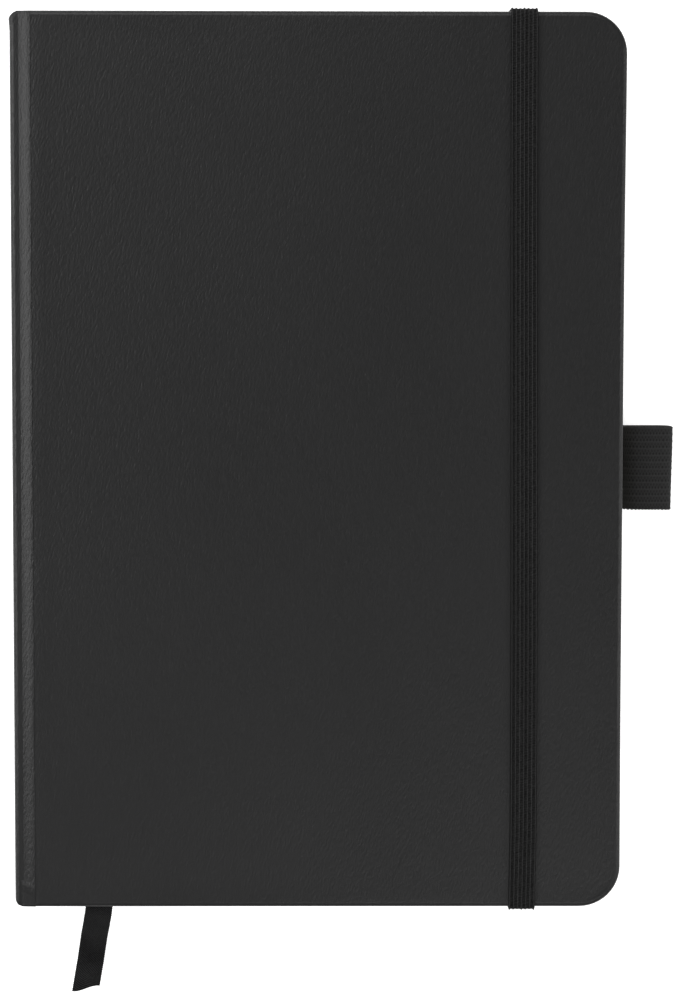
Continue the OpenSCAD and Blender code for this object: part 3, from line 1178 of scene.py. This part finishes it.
@dataclass
class PenLoop:
    """The elastic loop on the fore-edge that holds a pen."""

    thick: float = 0.85 * MM
    line_gap: float = 1.63 * MM
    line_rise: float = 0.06 * MM
    scallop_gap: float = 0.8 * MM
    scallop_in: float = 0.4 * MM
    slack: float = 0.2 * MM
    shift: float = 0.2 * MM
    step: float = 0.2 * MM
    line_half: float = 0.13
    scallop_share: float = 0.07
    edge_z: float = 0.2 * MM
    slant: float = 0.35 * MM
    bend_x: tuple[float, float] = (-0.4 * MM, 1.4 * MM)

    def __post_init__(self) -> None:
        """Reads the loop's place from the frame."""
        self.low, self.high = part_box("pen_loop")

    def route(self) -> Array:
        """The inner face's line: out from the cover, round the far end and back above.

        Returns:
            Points, (n, 3), at the middle of the loop's width.
        """
        y = (self.low.y + self.high.y) / 2 - self.slack - self.shift
        x0, x1, z0, z1 = self.low.x, self.high.x, self.low.z, self.high.z
        r = (z1 - z0) / 2 - self.thick
        far = x1 - self.thick - r
        middle = (z0 + z1) / 2
        bend = np.linspace(-math.pi / 2, math.pi / 2, 13)
        knots = [(x0 + step * MM, z0 + self.thick) for step in (-4, -1, 1.5)]
        knots += [(far - 4 * MM, middle - r)]
        knots += [(far + r * math.cos(a), middle + r * math.sin(a)) for a in bend]
        knots += [(far - 4 * MM, middle + r), (x0 + 3.4 * MM, middle + 0.65 * r)]
        knots += [(x0 + 1.0 * MM, z0 + 1.9 * self.thick), (x0 - 1 * MM, z0 + self.thick * 1.2)]
        knots += [(x0 - 4 * MM, z0 + self.thick * 1.2)]
        flat = np.array(knots)
        return np.stack([flat[:, 0], np.full(len(flat), y), flat[:, 1]], -1)

    def build(self, materials: dict[Slot, bpy.types.Material]) -> None:
        """Makes the loop's webbing.

        Across the width the outer face rises by a small bell at each line. The edge towards
        the tail has small scallops, and the loop reaches a little less far there.

        Args:
            materials: the made finishes.
        """
        path = even_path(self.route(), self.step)
        tangent = unit(np.gradient(path, axis=0))
        side = np.broadcast_to([0.0, 1.0, 0.0], path.shape)
        out = unit(np.cross(tangent, side))
        out *= np.sign(out[np.argmax(path[:, 0]), 0])
        half = (self.high.y - self.low.y) / 2 + self.slack
        t = np.linspace(-1, 1, 97)
        off_line = np.abs(t * half / self.line_gap - np.round(t * half / self.line_gap))
        rise = self.thick - self.line_rise * (1 - np.exp(-((off_line / self.line_half) ** 2)))
        rise = rise * np.clip(np.sqrt((1 - np.abs(t)) * 40), 0.5, 1)
        section = strip_section(t * half, rise, np.zeros(len(t)), self.edge_z)
        scallop = self.scallop_in * np.abs(np.sin(math.pi * path[:, :1] / self.scallop_gap))
        near_tail = np.clip((-section[:, 0] / half - 1 + self.scallop_share) / self.scallop_share, 0, 1)[None]
        lateral = section[None, :, 0] + scallop * near_tail
        sections = np.stack(np.broadcast_arrays(lateral, section[None, :, 1]), -1)
        points = sweep(path, side, out, sections)
        reach = smooth((points[..., 0] - self.low.x) / (self.high.x - self.low.x))
        points[..., 0] -= self.slant * smooth((self.high.y - points[..., 1]) / (2 * half)) * reach
        faces, cloth = tube_faces(points.shape), cloth_map(section[:, 0], lengths(path))
        loop = add_piece("pen_loop_webbing", points, faces, Slot.WEBBING, materials, cloth, CLOTH_CREASE)
        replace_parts(loop, "pen_loop")
        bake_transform(loop)


@dataclass
class RibbonMarker:
    """The satin ribbon that lies on the sewn sections and comes out at the tail."""

    width: float = 6.5 * MM
    thick: float = 0.2 * MM
    step: float = 0.15 * MM
    stride: int = 16
    picot: float = 0.06 * MM
    picot_gap: float = 0.5 * MM
    cut: float = 2.5 * MM
    cut_run: float = 6 * MM
    route: list[tuple[float, float, float]] = field(default_factory=lambda: [
        (-65.2, 103, 12.6), (-64.2, 87, 12.6), (-63.2, 71, 12.6), (-62.2, 55, 12.6),
        (-61.2, 39, 12.6), (-60.2, 23, 12.6), (-59.2, 7, 12.6), (-58.2, -9, 12.6),
        (-57.2, -25, 12.6), (-56.2, -41, 12.6), (-55.2, -57, 12.6), (-54.2, -73, 12.6),
        (-53.3, -89, 12.6), (-52.7, -100, 12.6), (-52.5, -104, 12.5), (-52.55, -106.5, 12),
        (-52.85, -109, 10.8), (-53.25, -111, 9.3), (-53.65, -113, 7.4), (-54.1, -115, 5.4),
        (-54.5, -117, 3.6), (-54.85, -119, 2.1), (-55.2, -121, 1.1), (-55.6, -123.5, 0.45),
        (-56.05, -126, 0.2), (-57.0, -131.6, 0.2)])

    def build(self, materials: dict[Slot, bpy.types.Material]) -> None:
        """Makes the ribbon as a flat strip with woven edges and a slanting, curved cut.

        Args:
            materials: the made finishes.
        """
        path = even_path(np.array(self.route) * MM, self.step)
        tangent = unit(np.gradient(path, axis=0))
        flat = unit(tangent * (1, 1, 0))
        side = np.stack([-flat[:, 1], flat[:, 0], np.zeros(len(flat))], -1)
        up = unit(np.cross(tangent, side))
        up *= np.sign(up[0, 2])
        t = np.linspace(-1, 1, 13)
        half = self.thick / 2
        shape = half * (0.8 + 0.2 * smooth((np.abs(t) - 0.85) / 0.1))
        ends = self.width / 2
        section = strip_section(t * ends, shape, -shape, 0.0)
        run = lengths(path)
        edge = section * (np.abs(section[:, :1]) > 0.49 * self.width) * (1, 0) / ends
        picots = edge[None] * (self.picot * np.sin(2 * math.pi * run / self.picot_gap))[:, None, None]
        points = sweep(path, side, up, section + picots)
        lateral = section[:, 0] / self.width + 0.5
        share = smooth((run - run[-1] + self.cut_run) / self.cut_run)[:, None]
        points -= (share * self.cut * smooth(lateral)[None])[..., None] * tangent[:, None]
        faces, cloth = tube_faces(points.shape), cloth_map(section[:, 0], run)
        ribbon = add_piece("ribbon_marker_satin", points, faces, Slot.RIBBON, materials, cloth, CLOTH_CREASE)
        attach(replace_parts(ribbon, "ribbon_marker"), Body.BOOK.value)


def dress_cad(materials: dict[Slot, bpy.types.Material]) -> None:
    """Gives every CAD node its finish.

    Args:
        materials: the made finishes.
    """
    slots = {row["node"]: Slot(row["material_slot"]) for row in frame["record"]["subparts"]}
    for name, node in frame["nodes"].items():
        node.data.materials.clear()
        node.data.materials.append(materials[slots[name]])
        LOG.info("dressed %s in %s", name, slots[name].value)


def main() -> None:
    """Builds the studio and the finishes, then each sub-assembly in turn, and dresses the CAD nodes."""
    logging.basicConfig(level=logging.INFO, format="%(name)s: %(message)s")
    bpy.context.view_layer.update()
    Studio().build()
    materials = {slot: finish.make() for slot, finish in FINISHES.items()}
    RibbonMarker().build(materials)
    Case().build(materials)
    Pages().build(materials)
    ClosureBand().build(materials)
    PenLoop().build(materials)
    dress_cad(materials)


if __name__ == "__main__":
    main()
